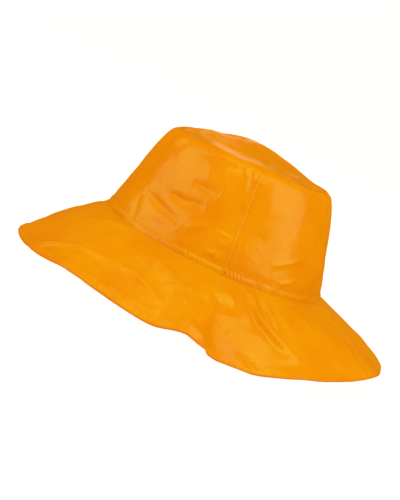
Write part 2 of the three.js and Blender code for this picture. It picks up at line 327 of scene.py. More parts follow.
def ramp(x, start, end):
    """0 up to start and 1 from end, eased between."""
    t = np.clip((x - start) / (end - start), 0, 1)
    return t * t * (3 - 2 * t)


def bump(x, middle, half_width):
    """A bell of height 1."""
    return np.exp(-(((x - middle) / half_width) ** 2))


def fold_height(points, folds, place):
    """Height of all the folds at each point. Across a fold it is exp(-(distance / half width) **
    sharpness), and along it the root of a half sine, so that both its ends die away."""
    total = np.zeros(points.shape[:-1])
    for fold in folds:
        path = np.array([place(a, b) for a, b in np.array(fold.path, float)])
        pieces = len(path) - 1
        nearest = np.full(total.shape, np.inf)
        along = np.zeros(total.shape)
        for i in range(pieces):
            step = path[i + 1] - path[i]
            t = np.clip((points - path[i]) @ step / (step @ step), 0, 1)
            distance = np.linalg.norm(points - path[i] - t[..., None] * step, axis=-1)
            closer = distance < nearest
            nearest = np.where(closer, distance, nearest)
            along = np.where(closer, (i + t) / pieces, along)
        across = np.exp(-((nearest / fold.half_width) ** fold.sharpness))
        total += fold.rise * across * np.sqrt(np.maximum(0, np.sin(np.pi * along)))
    return total


def wander(points, wavelength, seed, waves=24):
    """Smooth random height of about 1: plane waves near one wavelength, in fixed random
    directions, added up. Each use has a seed of its own."""
    rng = np.random.default_rng(seed)
    way = rng.normal(size=(waves, 3))
    way /= np.linalg.norm(way, axis=1, keepdims=True)
    wave_vector = way * (2 * np.pi / (wavelength * rng.uniform(0.7, 1.5, (waves, 1))))
    phase = rng.uniform(0, 2 * np.pi, waves)
    return np.sin(points @ wave_vector.T + phase).sum(-1) * np.sqrt(2 / waves)


def crumple(points, wavelength, seed):
    """Thin ridges where two wandering heights cross nought, as on creased coated cloth."""
    first = bump(wander(points, wavelength, seed), 0, 0.4)
    second = bump(wander(points, wavelength * 0.8, seed + 1), 0, 0.36)
    first *= ramp(wander(points, wavelength * 3, seed + 2), -0.2, 1.2)
    second *= ramp(wander(points, wavelength * 3, seed + 3), 0, 1.4)
    return first + second


def random_waves(points, waves):
    """A panel's long and short waves and its crumples, added up."""
    total = 0.0
    for shape, wave in zip((wander, wander, crumple), waves):
        total = total + wave.height * shape(points, wave.wavelength, wave.seed)
    return total


# Surfaces


def crown_base(bearing, height):
    """Ellipses whose half length follows the profile, leaning to the front with height."""
    angle = np.radians(bearing)
    half_length = curve_at(CROWN_PROFILE, height)
    rise = curve_at(TIP_SEAM_RISE, bearing, 360) * (height / CROWN_HEIGHT) ** 2
    x = half_length * np.cos(angle) - CROWN_LEAN * height
    y = half_length * (HALF_WIDTH / HALF_LENGTH) * np.sin(angle)
    return MIDDLE + np.stack([x, y, SEAM_HEIGHT + height + rise], -1)


def brim_base(bearing, out):
    """An arc of the cloth's width that leaves the seam's ellipse square to it, and turns evenly
    from the slope at the seam to the slope at the hem."""
    angle = np.radians(bearing)
    nose = np.stack([np.cos(angle) / HALF_LENGTH, np.sin(angle) / HALF_WIDTH], -1)
    nose /= np.linalg.norm(nose, axis=-1, keepdims=True)
    start = np.radians(curve_at(SEAM_DROOP, bearing, 360))
    turn = np.radians(curve_at(HEM_DROOP, bearing, 360)) - start
    slope = start + turn * np.maximum(out, 0) / BRIM_WIDTH
    reach = BRIM_WIDTH * (np.sin(slope) - np.sin(start)) / turn + np.minimum(out, 0)
    drop = BRIM_WIDTH * (np.cos(start) - np.cos(slope)) / turn
    x = HALF_LENGTH * np.cos(angle) + nose[..., 0] * reach
    y = HALF_WIDTH * np.sin(angle) + nose[..., 1] * reach
    return MIDDLE + np.stack([x, y, SEAM_HEIGHT - drop], -1)


def tip_place(x, y):
    """A place on the tip's level, from its middle."""
    level = np.full(np.shape(x), SEAM_HEIGHT + CROWN_HEIGHT)
    return MIDDLE + np.stack([x - CROWN_LEAN * CROWN_HEIGHT, y, level], -1)


def tip_base(bearing, ring):
    """The crown's top rim drawn in to the middle by ring, over a shallow dome."""
    rim = crown_base(bearing, np.full(np.shape(bearing), CROWN_HEIGHT))
    middle = tip_place(0.0, 0.0)
    point = middle + (rim - middle) * ring[..., None]
    point[..., 2] = middle[2] + (rim - middle)[..., 2] * ring**2 + TIP_DOME * (1 - ring**4)
    return point


def unit(vectors):
    """Vectors of length 1."""
    return vectors / np.maximum(np.linalg.norm(vectors, axis=-1, keepdims=True), 1e-9)


def grid_normals(points):
    """Normals of a grid whose first index runs round the hat and whose second runs up it."""
    return unit(np.cross(np.gradient(points, axis=0), np.gradient(points, axis=1)))


def radians_apart(bearing, other):
    """Angle from one bearing to another, between half a turn either way."""
    return np.radians((bearing - other + 180) % 360 - 180)


def from_seam(bearing):
    """Millimetres round the crown from the nearer side seam, positive towards the back."""
    near = radians_apart(bearing, NEAR_SEAM)
    far = -radians_apart(bearing, FAR_SEAM)
    return HALF_LENGTH * np.where(np.abs(near) < np.abs(far), near, far)


def seam_step(bearing, front, roll, edge):
    """Front panels roll over beside their edge, and back panels sink just under it."""
    distance = from_seam(bearing)
    if front:
        return roll * bump(distance, ROLL_PLACE, ROLL_WIDTH)
    under = edge + LAP_GAP - roll * bump(0, ROLL_PLACE, ROLL_WIDTH)
    return -(under + 0.6 * ramp(-distance, 0, LAP)) * (1 - ramp(distance, 0.2, 3.2))


def pressed(bearing, cloth, edge):
    """The cloth's thickness, which is pressed thin in its side seams."""
    return edge + (cloth - edge) * ramp(np.abs(from_seam(bearing)), 0, 5)


def seam_puckers(points, bearing, away, seed, slant=0.5):
    """Ripples square to the brim seam, a fixed pitch apart, slanted and unevenly strong."""
    arc = np.radians(bearing) * MEAN_RADIUS
    shift = 1.1 * wander(points, 26, seed)
    ripple = np.sin(2 * np.pi * (arc + slant * away) / PUCKER_PITCH + shift)
    uneven = np.clip(0.75 + 0.5 * wander(points, 14, seed + 1), 0.1, 1.6)
    return ripple * uneven * curve_at(SEAM_PUCKERS, bearing, 360)


def crown_skin(bearing, height, front, settings):
    """Crown's outside: its base shape raised along its normal by folds, one broad bulge, random
    waves and crumples, the roll and ripples at its foot, a rounded shoulder and the side seams."""
    base = crown_base(bearing, height)
    inside = np.clip(np.minimum(height, CROWN_HEIGHT - height) / FADE, 0, 1)
    folds = fold_height(base, CROWN_FOLDS, crown_base) * inside
    bulge = BULGE * bump(radians_apart(bearing, BULGE_BEARING), 0, 0.26) * bump(height, 34, 24)
    waves = random_waves(base, CROWN_WAVES) * curve_at(WALL_CRUMPLES, bearing, 360)
    foot = 0.5 * bump(height, 3.0, 2.4) - 0.12 * bump(height, STITCH_HEIGHT, 0.9)
    ripple = 0.26 * seam_puckers(base, bearing, height, 21) * bump(height, 3.4, 3.0)
    side = 0.05 * np.sin(2 * np.pi * height / 6.0 + 2 * wander(base, 20, 31))
    side *= bump(np.abs(from_seam(bearing)), 4.5, 3.2)
    shoulder = 0.35 * bump(height, CROWN_HEIGHT - 3, 2)
    top = 0.04 * seam_puckers(base, bearing, -height, 41) * bump(height, CROWN_HEIGHT - 4, 4)
    rise = folds + bulge * inside + settings.wrinkles * waves * np.clip(inside + 0.3, 0, 1)
    rise = rise + foot + settings.puckers * (ripple + side + top) + shoulder
    roll = 0.55 * (1 - ramp(height, CROWN_HEIGHT - 7, CROWN_HEIGHT - 1))
    rise = rise + seam_step(bearing, front, roll, CROWN_SEAM_EDGE)
    return base + grid_normals(base) * rise[..., None]


def brim_skin(bearing, out, front, settings):
    """Brim's upper side: its base shape raised by folds, random waves and crumples, seam puckers
    and the folded hem. Where it stands on the surface it is flattened: z becomes the resting
    height + softness * log(1 + exp((z - resting height) / softness))."""
    base = brim_base(bearing, out)
    free = np.clip(out / FADE, 0, 1)
    folds = fold_height(base, BRIM_FOLDS, brim_base) * free
    waves = random_waves(base, BRIM_WAVES) * settings.wrinkles
    ripple = 0.15 * seam_puckers(base, bearing, out, 81, -0.4) * bump(out, 2.0, 5.0) * free
    hem = 0.3 * ramp(out, HEM_LINE - 2, HEM_LINE + 2) - 0.12 * bump(out, HEM_STITCHES, 1.0)
    hem_waves = 0.05 * np.sin(np.radians(bearing) * 130 + 1.6 * wander(base, 22, 91))
    hem = hem + settings.puckers * hem_waves * ramp(out, HEM_LINE - 4, HEM_LINE + 1)
    rise = folds + waves * free + hem
    rise = rise + settings.puckers * ripple + seam_step(bearing, front, 0.0, BRIM_SEAM_EDGE)
    # Rows run up the hat, so the brim's run from its hem inwards.
    points = base + grid_normals(base) * rise[..., None]
    over = points[..., 2] - REST_HEIGHT
    points[..., 2] = REST_HEIGHT + REST_SOFTNESS * np.logaddexp(0, over / REST_SOFTNESS)
    return points


def tip_skin(bearing, ring, settings):
    """Tip's upper side: its dome, sunk along its middle by folds, with random waves, a ridge beside
    its seam, puckers, and finer waves where it is gathered."""
    base = tip_base(bearing, ring)
    rim = np.hypot(HALF_LENGTH, HALF_WIDTH) / 2 * (1 - ring)
    inside = np.clip(rim / FADE, 0, 1)
    level = base.copy()
    level[..., 2] = SEAM_HEIGHT + CROWN_HEIGHT
    folds = fold_height(level, TIP_FOLDS, tip_place) * inside
    waves = random_waves(base, TIP_WAVES) * settings.wrinkles
    ripple = 0.12 * seam_puckers(base, bearing, rim, 121) * bump(rim, 4, 4)
    gathered = bump(radians_apart(bearing, GATHERED_BEARING), 0, 0.22) * bump(rim, 4, 5)
    ripple = ripple + 0.08 * wander(base, 6, 131) * gathered
    ridge = 0.6 * ramp(rim, -2, 7) * (1 - ramp(rim, 8, 26))
    ridge *= 1 - 0.8 * bump(radians_apart(bearing, FLAT_RIM_BEARING), 0, 0.45)
    base[..., 2] += folds + waves * inside + ridge + settings.puckers * ripple
    return base


# Meshes


def half_round(start, end, before):
    """Three points over the rim from start to end, on a half circle that bulges the way the cloth
    runs: middle + cosine of the turn * half the edge + sine of the turn * its size * the way."""
    middle = (start + end) / 2
    half = start - middle
    way = unit(start - before)
    size = np.linalg.norm(half, axis=-1, keepdims=True)
    turns = np.radians([45, 90, 135])
    return np.stack([middle + np.cos(turn) * half + np.sin(turn) * size * way for turn in turns], 1)


def quads(index):
    """Quads of a grid of vertex numbers."""
    around = [index[:-1, :-1], index[1:, :-1], index[1:, 1:], index[:-1, 1:]]
    return np.stack(around, -1).reshape(-1, 4)


def strip_of(outer, inner, closed):
    """Every column's section as one line of points: down the inner side from its last row, over
    the rim, and up the outer side. A closed one goes on over the other rim."""
    parts = [inner[:, ::-1], half_round(inner[:, 0], outer[:, 0], inner[:, 1]), outer]
    if closed:
        parts.append(half_round(outer[:, -1], inner[:, -1], outer[:, -2]))
    return np.concatenate(parts, 1)


def on_strip(values, closed):
    """Numbers on the rows of a panel carried to its strip's points, rims included."""
    first = np.repeat(values[:, :1], 3, 1)
    last = np.repeat(values[:, -1:], 3, 1)
    return np.concatenate([values[:, ::-1], first, values] + ([last] if closed else []), 1)


def inner_rows(strip, outer):
    """Which points of a strip lie on the inner side."""
    return np.tile(np.arange(strip.shape[1]) < outer.shape[1], (len(strip), 1))


def side_panel_faces(columns, rows):
    """Faces of a panel with open ends: its closed sections joined column to column, and both ends
    closed by quads from the outer row to the inner one and a five sided face at each rim."""
    count = 2 * rows + 6
    index = np.arange(columns * count).reshape(columns, count)
    faces = quads(np.concatenate([index, index[:, :1]], 1))
    ends = []
    for column, step in ((0, 1), (columns - 1, -1)):
        line = index[column]
        inside = line[:rows][::-1]
        outside = line[rows + 3 : 2 * rows + 3]
        around = [outside[:-1], outside[1:], inside[1:], inside[:-1]]
        ends += np.stack(around, -1)[:, ::step].tolist()
        ends.append(line[rows - 1 : rows + 4][::step].tolist())
        ends.append(np.append(line[2 * rows + 2 :], line[0])[::step].tolist())
    return faces.tolist() + ends


def tip_faces(columns, rows):
    """Faces of a round panel: its sections joined in a ring, and a fan to a middle point on each
    side, the inner one first."""
    count = 2 * rows + 3
    index = np.arange(columns * count).reshape(columns, count)
    ring = np.concatenate([index, index[:1]])
    inner_middle, outer_middle = columns * count, columns * count + 1
    outer_fan = np.stack([ring[:-1, -1], ring[1:, -1], np.full(columns, outer_middle)], -1)
    inner_fan = np.stack([ring[1:, 0], ring[:-1, 0], np.full(columns, inner_middle)], -1)
    return quads(ring).tolist() + inner_fan.tolist() + outer_fan.tolist()


def add_object(name, data):
    """A new object in the scene."""
    made = bpy.data.objects.new(name, data)
    bpy.context.scene.collection.objects.link(made)
    return made


def mesh_object(name, points, faces, materials):
    """A smooth shaded mesh from points in millimetres, at the origin."""
    mesh = bpy.data.meshes.new(name)
    mesh.from_pydata(points.reshape(-1, 3) * MM, [], faces)
    for material in materials:
        mesh.materials.append(material)
    mesh.polygons.foreach_set("use_smooth", np.ones(len(mesh.polygons), bool))
    mesh.update()
    return add_object(name, mesh)


def whole_numbers(items, attribute):
    """One attribute of a mesh's corners or faces."""
    values = np.empty(len(items), np.int32)
    items.foreach_get(attribute, values)
    return values


def add_fields(piece, chart, painted_shade, backing):
    """Keeps on a panel its cloth map, in tenths of a metre, how strongly shade is painted at each
    point, and which faces are the uncoated inner side."""
    mesh = piece.data
    vertices = whole_numbers(mesh.loops, "vertex_index")
    cloth_map = mesh.uv_layers.new(name="cloth")
    cloth_map.data.foreach_set("uv", (chart.reshape(-1, 2)[vertices] / 100).astype(np.float32).ravel())
    layer = mesh.attributes.new("painted_shade", "FLOAT", "POINT")
    layer.data.foreach_set("value", painted_shade.ravel().astype(np.float32))
    starts = whole_numbers(mesh.polygons, "loop_start")
    totals = whole_numbers(mesh.polygons, "loop_total")
    inside = np.add.reduceat(backing.ravel()[vertices].astype(np.int32), starts) == totals
    mesh.polygons.foreach_set("material_index", inside.astype(np.int32))


def declare(piece, node, area):
    """Ties a panel to the root body and hides the solid that it stands for."""
    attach(piece, "root")
    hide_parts(node)


# Materials

WHITE = (1.0, 1.0, 1.0)


class Value:
    """A shader socket that holds a number. Arithmetic on it adds Math nodes."""

    def __init__(self, shader, socket):
        self.shader = shader
        self.socket = socket

    def math(self, operation, *values):
        return self.shader.node("Math", {"operation": operation}, dict(enumerate(values)))

    def __add__(self, other):
        return self.math("ADD", self, other)

    def __rsub__(self, other):
        return self.math("SUBTRACT", other, self)

    def __mul__(self, other):
        return self.math("MULTIPLY", self, other)

    __radd__ = __add__

    def eased(self, low, high):
        """0 at low and 1 at high, eased between."""
        settings = {"interpolation_type": "SMOOTHSTEP"}
        sockets = {"Value": self, "From Min": low, "From Max": high}
        return self.shader.node("MapRange", settings, sockets)


class Shader:
    """A node tree that is built from expressions."""

    def __init__(self, owner):
        owner.use_nodes = True
        self.tree = owner.node_tree

    def node(self, kind, settings=None, sockets=None, output=0):
        """Adds a node, sets its settings first and then its sockets by name or number, and returns
        one of its outputs."""
        made = self.tree.nodes.new("ShaderNode" + kind)
        for setting, value in (settings or {}).items():
            setattr(made, setting, value)
        self.feed(made, sockets or {})
        return Value(self, made.outputs[output])

    def feed(self, made, sockets):
        """Links sockets to values that vary, and sets the others."""
        for name, value in sockets.items():
            if isinstance(value, Value):
                self.tree.links.new(value.socket, made.inputs[name])
            else:
                made.inputs[name].default_value = value

    def surface(self, sockets):
        """Sets the sockets of the material's own surface shader."""
        self.feed(self.tree.nodes["Principled BSDF"], sockets)

    def mix_colour(self, factor, first, second):
        return self.node("Mix", {"data_type": "RGBA"}, {0: factor, 6: first, 7: second}, 2)

    def noise(self, where, scale, detail=2.0, roughness=0.5):
        sockets = {"Vector": where, "Scale": scale, "Detail": detail, "Roughness": roughness}
        return self.node("TexNoise", {}, sockets)

    def attribute(self, name):
        return self.node("Attribute", {"attribute_name": name}, {}, "Fac")

    def bump(self, height, distance, strength, under=None):
        sockets = {"Height": height, "Distance": distance, "Strength": strength}
        if under is not None:
            sockets["Normal"] = under
        return self.node("Bump", {}, sockets)

    def weave(self, threads):
        """Plain weave on the cloth map: warp and weft as two waves, multiplied."""
        where = self.node("UVMap", {"uv_map": "cloth"})
        waves = []
        for direction in ("X", "Y"):
            settings = {"bands_direction": direction}
            sockets = {"Vector": where, "Scale": threads}
            waves.append(self.node("TexWave", settings, sockets, "Fac"))
        return waves[0] * waves[1]


def shade(colour, factor=1.0):
    """A colour made darker or lighter by a factor, opaque."""
    return [channel * factor for channel in colour[:3]] + [1.0]


def new_material(name):
    """A material, its shader and the place on the object that its patterns follow."""
    material = bpy.data.materials.new(name)
    shader = Shader(material)
    return material, shader, shader.node("TexCoord", output="Object")


def coated_side(settings):
    """Outer side of the cloth: a smooth waterproof coat over a fine weave, with soft mottling,
    small crumples, and painted shade: a darker colour down in the seams, in the tip's hollow and along
    the hem's edge."""
    material, shader, where = new_material("coated cloth")
    mottle = shader.noise(where, 26.0, 3.0)
    speckle = shader.noise(where, 160.0, 3.0)
    # Painted shade: how strongly each point is darkened where shade falls; it also roughens the coat
    # and thins it there.
    seam = shader.attribute("painted_shade")
    plain = shade(settings.cloth_colour)
    colour = shader.mix_colour(mottle.eased(0.35, 0.68), plain, shade(settings.mottle_and_shade_colour))
    # Painted shade, mixed in as the mottle and shade colour darkened further.
    colour = shader.mix_colour(seam * 0.4, colour, shade(settings.mottle_and_shade_colour, 0.8))
    crumples = shader.noise(where, 95.0, 4.0, 0.55)
    bump = shader.bump(crumples, 0.0005, 0.2)
    bump = shader.bump(shader.weave(70.0), 0.00002, 0.2, bump)
    sockets = {
        "Base Color": colour,
        "Roughness": settings.roughness - 0.03 + speckle * 0.06 + seam * 0.1,
        "Normal": bump,
        "Coat Weight": 0.3 - seam * 0.2,
        "Coat Roughness": 0.18,
    }
    shader.surface(sockets)
    return material


def backing_side(settings):
    """Inner side of the cloth: the same dye without its coat, matt and visibly woven."""
    material, shader, where = new_material("backing cloth")
    mottle = shader.noise(where, 30.0)
    weave = shader.weave(110.0)
    light = shade(settings.cloth_colour)
    colour = shader.mix_colour(mottle * 0.5 + weave * 0.25, light, shade(settings.mottle_and_shade_colour, 0.9))
    sockets = {
        "Base Color": colour,
        "Roughness": 0.72 + weave * 0.12,
        "Normal": shader.bump(weave, 0.0002, 0.6),
        "Sheen Weight": 0.15,
    }
    shader.surface(sockets)
    return material


def thread_material(settings):
    """Spun thread in the cloth's own colour, with its twist as slanting bands."""
    material, shader, where = new_material("thread")
    sockets = {"Vector": where, "Scale": 900.0, "Distortion": 1.0}
    twist = shader.node("TexWave", {"bands_direction": "DIAGONAL"}, sockets, "Fac")
    light = shade(settings.thread_colour)
    sockets = {
        "Base Color": shader.mix_colour(twist * 0.6, light, shade(settings.thread_colour, 0.75)),
        "Roughness": 0.45 + twist * 0.15,
        "Normal": shader.bump(twist, 0.0001, 0.5),
    }
    shader.surface(sockets)
    return material


def floor_material():
    """Pale matt card with the faintest grain."""
    material, shader, where = new_material("pale floor")
    grain = shader.noise(where, 60.0, 3.0)
    sockets = {
        "Base Color": shader.mix_colour(grain, shade(WHITE, 0.3), shade(WHITE, 0.33)),
        "Roughness": 0.9 - grain * 0.05,
        "Specular IOR Level": 0.0,
        "Emission Color": shade(WHITE),
        "Emission Strength": 0.96,
    }
    shader.surface(sockets)
    return material


def shared_material(name, make):
    """The material of that name, made the first time that it is asked for."""
    return bpy.data.materials.get(name) or make(bpy.context.scene.rain_hat)


def cloth_materials():
    looks = {"coated cloth": coated_side, "backing cloth": backing_side}
    return [shared_material(name, make) for name, make in looks.items()]


# Pieces


def half_bearings(front):
    """Bearings of the side seams at which a half starts and ends."""
    return (FAR_SEAM, NEAR_SEAM) if front else (NEAR_SEAM - 360, FAR_SEAM)


def panel_bearings(front, columns):
    """Columns of a side panel, crowded towards its ends: t - crowding / (2 pi) * sin(2 pi t) for
    even t. A back panel runs on a little under the front one at both seams."""
    crowding = 0.65
    lap = 0.0 if front else np.degrees(LAP / HALF_LENGTH)
    first, last = half_bearings(front)
    first, last = first - lap, last + lap
    turn = np.linspace(0, 2 * np.pi, columns)
    return first + (last - first) * (turn - crowding * np.sin(turn)) / (2 * np.pi)


def set_in(points, thickness):
    """A grid moved in along its normals by the cloth's thickness."""
    return points - grid_normals(points) * np.asarray(thickness)[..., None]


def sew_side_panel(node, outer, inner, chart, painted_shade):
    """The closed shell of a side panel, kept above the surface that the hat stands on, with its
    cloth map and its painted shade."""
    points = strip_of(outer, inner, True)
    points[..., 2] = np.maximum(points[..., 2], 0)
    faces = side_panel_faces(*outer.shape[:2])
    piece = mesh_object("sewn_" + node, points, faces, cloth_materials())
    backing = inner_rows(points, outer)
    add_fields(piece, on_strip(chart, True), on_strip(painted_shade, True), backing)
    return piece


def make_crown_panel(half, settings):
    """One half of the crown's wall, foot to shoulder."""
    node, front = f"crown_{half}_panel", half == "front"
    rows = np.concatenate([np.arange(-0.05, 12, 0.5), np.linspace(12, CROWN_HEIGHT, 92)])
    bearing, height = np.meshgrid(panel_bearings(front, CROWN_COLUMNS), rows, indexing="ij")
    outer = crown_skin(bearing, height, front, settings)
    edge = 0.4 + 0.6 * ramp(np.minimum(height, CROWN_HEIGHT - height), 0, 5)
    inner = set_in(outer, pressed(bearing, CROWN_CLOTH, CROWN_SEAM_EDGE) * edge)
    chart = np.stack([np.radians(bearing) * MEAN_RADIUS, height], -1)
    # Painted shade along the crown's foot, where it meets the brim.
    piece = sew_side_panel(node, outer, inner, chart, 0.3 * bump(height, 0, 1.0))
    top = HALF_GIRTH * CROWN_PROFILE[-1].half_length / HALF_LENGTH
    length = CROWN_HEIGHT * CROWN_TURNINGS
    area = (HALF_GIRTH + top) / 2 * length
    flat = (HALF_GIRTH * SIDE_TURNINGS * MM, length * CROWN_PATTERN * MM)
    declare(piece, node, area * MM * MM)


def make_brim_panel(half, settings):
    """One half of the brim, hem to seam, with the hem folded double underneath."""
    node, front = f"brim_{half}_panel", half == "front"
    hem_rows = np.linspace(BRIM_WIDTH, HEM_LINE - 1.2, 20)
    seam_rows = np.linspace(7.3, -SEAM_TURNING, 18)
    rows = np.concatenate([hem_rows, np.linspace(HEM_LINE - 2, 8, 66), seam_rows])
    bearing, out = np.meshgrid(panel_bearings(front, BRIM_COLUMNS), rows, indexing="ij")
    outer = brim_skin(bearing, out, front, settings)
    thickness = BRIM_CLOTH + (HEM_CLOTH - BRIM_CLOTH) * ramp(out, HEM_LINE - 0.5, HEM_LINE + 0.3)
    inner = set_in(outer, pressed(bearing, thickness, BRIM_SEAM_EDGE))
    chart = np.stack([np.radians(bearing) * MEAN_RADIUS * (1 + out / BRIM_SPREAD), out], -1)
    # Painted shade in the brim seam and along the hem's outer edge.
    painted_shade = 0.4 * bump(out, -1.0, 1.5) + 0.5 * ramp(out, BRIM_WIDTH - 1.0, BRIM_WIDTH - 0.2)
    piece = sew_side_panel(node, outer, inner, chart, painted_shade)
    hem = HALF_GIRTH + np.pi * BRIM_WIDTH * HEM_SPREAD
    area = (HALF_GIRTH + hem) / 2 * (BRIM_WIDTH + SEAM_TURNING)
    flat = ((HALF_LENGTH + BRIM_WIDTH) * 2 * MM, (HALF_WIDTH + BRIM_WIDTH) * BRIM_PATTERN * MM)
    declare(piece, node, area * MM * MM)


def make_tip(node, settings):
    """The oval top, with shade painted into its hollow, stronger towards the back, and along its seam.
    """
    rings = np.concatenate([np.linspace(1.0, 0.88, 20), np.linspace(0.87, 0.012, 66)])
    columns = np.arange(TIP_COLUMNS) * 360 / TIP_COLUMNS
    bearing, ring = np.meshgrid(columns, rings, indexing="ij")
    outer = tip_skin(bearing, ring, settings)
    inner = outer - np.array([0, 0, CROWN_CLOTH])
    strip = strip_of(outer, inner, False)
    middles = np.stack([inner[:, -1].mean(0), outer[:, -1].mean(0)])
    points = np.concatenate([strip.reshape(-1, 3), middles])
    faces = tip_faces(*outer.shape[:2])
    piece = mesh_object("sewn_" + node, points, faces, cloth_materials())
    # Painted shade over the tip's hollow, stronger towards the back, and in a thin ring at its seam.
    hollow = ramp(1 - ring, 0.04, 0.3) * (0.4 + 0.6 * ramp(outer[..., 0] - MIDDLE[0], -30, 15))
    painted_shade = on_strip(np.maximum(bump(ring, 1.0, 0.02), hollow), False)
    # The two middle points come last, the inner one first, both with full painted shade.
    painted_shade = np.append(painted_shade, [1.0, 1.0])
    add_fields(piece, points[:, :2], painted_shade, np.append(inner_rows(strip, outer), [True, False]))
    half_length = CROWN_PROFILE[-1].half_length
    half_width = half_length * HALF_WIDTH / HALF_LENGTH
    flat = (2 * half_length * MM, 2 * half_width * MM)
    area = np.pi * half_length * half_width * MM * MM
    declare(piece, node, area)


def stitch_row(skin, row, step, settings):
    """Middles, directions and outward normals of stitches one pitch apart along one row of a skin,
    round both halves. The step is the way up the hat."""
    found = []
    for front in (True, False):
        sides = np.linspace(*half_bearings(front), 1800)
        bearing, rows = np.meshgrid(sides, [row - step, row, row + step], indexing="ij")
        points = skin(bearing, rows, front, settings)
        line = points[:, 1]
        length = np.append(0, np.cumsum(np.linalg.norm(np.diff(line, axis=0), axis=1)))
        count = int(length[-1] / settings.stitch_pitch)
        nearest = np.searchsorted(length, (np.arange(count) + 0.5) * length[-1] / count)
        ahead = unit(np.gradient(line, axis=0))
        normal = unit(np.cross(ahead, points[:, 2] - points[:, 0]))
        found.append(np.stack([line, ahead, normal])[:, nearest])
    return np.concatenate(found, 1)


def stitches(rows, settings):
    """Every stitch as one spindle: rings of six points round its direction, whose radius falls off
    along it as (1 - x squared) to the power 0.35, with its ends sunk into the cloth."""
    places = np.array([-0.98, -0.8, -0.4, 0.0, 0.4, 0.8, 0.98])[:, None, None]
    sides = 6
    turn = np.radians(np.arange(sides) * 360 / sides)[:, None]
    radius = (1 - places**2) ** 0.35 * settings.thread_width / 2
    along = places * settings.stitch_length / 2
    sunk = 0.02 - 0.3 * np.abs(places) ** 3
    points = []
    for row in rows:
        middle, ahead, up = row[:, :, None, None]
        sideways = radius * np.cos(turn) * np.cross(up, ahead)
        lifted = radius * np.sin(turn) * up
        points.append((middle + along * ahead + sideways + lifted + sunk * up).reshape(-1, 3))
    points = np.concatenate(points)
    size = len(places) * sides
    index = np.arange(size).reshape(-1, sides)
    wall = quads(np.concatenate([index, index[:, :1]], 1))[:, ::-1]
    ends = np.stack([index[0], index[-1, ::-1]])
    offset = np.arange(len(points) // size)[:, None, None] * size
    faces = (wall + offset).reshape(-1, 4).tolist() + (ends + offset).reshape(-1, sides).tolist()
    return points, faces


def make_stitches(settings):
    """Topstitching over the brim seam and along the hem."""
    rows = [
        stitch_row(crown_skin, STITCH_HEIGHT, 0.6, settings),
        stitch_row(brim_skin, HEM_STITCHES, -0.6, settings),
    ]
    thread = shared_material("thread", thread_material)
    piece = mesh_object("seam_stitches", *stitches(rows, settings), [thread])
    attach(piece, "root")


# Stage

# The camera stands a little to the front of the near side seam and is rolled, as the photo shows
# the hat tipped.
VIEW_BEARING = -10.0
VIEW_ELEVATION = 11.0
VIEW_ROLL = 26.0
VIEW_DISTANCE = 1900.0
FRAME_HEIGHT = 429.0  # millimetres seen at the hat
FRAME_PIXELS = (400, 500)
SENSOR = 36.0
SEAM_MIDDLE_PIXEL = (215.0, 250.0)  # where the middle of the crown's foot lies in the photo
FLOOR_REACH = 6000.0
FLOOR_GAP = 0.15

# Soft lights, placed by bearing from the camera's side, positive to the right, and elevation. A
# tilt in degrees turns a lamp about its line to the hat.
Lamp = namedtuple(
    "Lamp", "name bearing elevation distance width height radiance colour tilt", defaults=[0]
)
LAMP_AIM = 90.0  # height that the lamps point at
KEY_BEARING = 16.0
KEY_ELEVATION = 40.0
KEY_WIDTH = 110.0  # degrees of sky that it fills
KEY_COLOUR = (0.85, 1.0, 0.5)

# Greenish, because what the orange cloth mirrors of them then looks like the photo's pale patches.
DAYLIGHT = (0.55, 1.55, 0.5)
SUNLIT = (0.5, 1.4, 0.17)
HAZE = (0.52, 1.36, 0.45)
BRIGHT_HAZE = (0.36, 1.62, 0.27)

WARM = (1.0, 0.62, 0.4)
LAMPS = [
    Lamp("left window", -60, 11, 1100, 1120, 560, 0.75, DAYLIGHT),
    Lamp("left skylight", -74, 45, 1100, 620, 340, 0.7, SUNLIT),
    Lamp("right window", 61, 26, 1100, 820, 580, 1.0, HAZE, -14),
    Lamp("high window", 54, 56, 1100, 620, 440, 0.9, BRIGHT_HAZE),
    Lamp("front skylight", -28, 56, 1100, 320, 200, 1.0, SUNLIT),
    Lamp("low skylight", 8, 43, 1100, 600, 340, 1.3, SUNLIT),
    Lamp("overhead", -55, 73, 1100, 280, 200, 1.0, SUNLIT),
    Lamp("far left window", -105, 24, 1100, 340, 240, 0.8, SUNLIT),
    Lamp("rear", -178, 11, 1200, 130, 260, 0.65, WARM),
    Lamp("high rear", -175, 30, 1200, 120, 180, 0.55, WARM),
]


def direction(bearing, elevation):
    """Unit vector from the hat. Bearing 0 looks from -Y, and 90 from +X."""
    a, e = np.radians(bearing), np.radians(elevation)
    return Vector((np.sin(a) * np.cos(e), -np.cos(a) * np.cos(e), np.sin(e)))


def make_camera():
    """The photo's camera, placed so that the middle of the crown's foot lies where it does there."""
    back = direction(VIEW_BEARING, VIEW_ELEVATION)
    right = direction(VIEW_BEARING + 90, 0)
    up = back.cross(right)
    roll = np.radians(VIEW_ROLL)
    across = right * np.cos(roll) + up * np.sin(roll)
    upright = up * np.cos(roll) - right * np.sin(roll)
    pixel = FRAME_HEIGHT / FRAME_PIXELS[1]
    target = Vector((MIDDLE[0], MIDDLE[1], SEAM_HEIGHT))
    target -= across * (SEAM_MIDDLE_PIXEL[0] - FRAME_PIXELS[0] / 2) * pixel
    target += upright * (SEAM_MIDDLE_PIXEL[1] - FRAME_PIXELS[1] / 2) * pixel
    data = bpy.data.cameras.new("camera")
    data.sensor_width = SENSOR
    data.lens = SENSOR * VIEW_DISTANCE / FRAME_HEIGHT
    camera = add_object("camera", data)
    turn = Matrix((across, upright, back)).transposed().to_4x4()
    camera.matrix_world = Matrix.Translation((target + back * VIEW_DISTANCE) * MM) @ turn
    bpy.context.scene.camera = camera


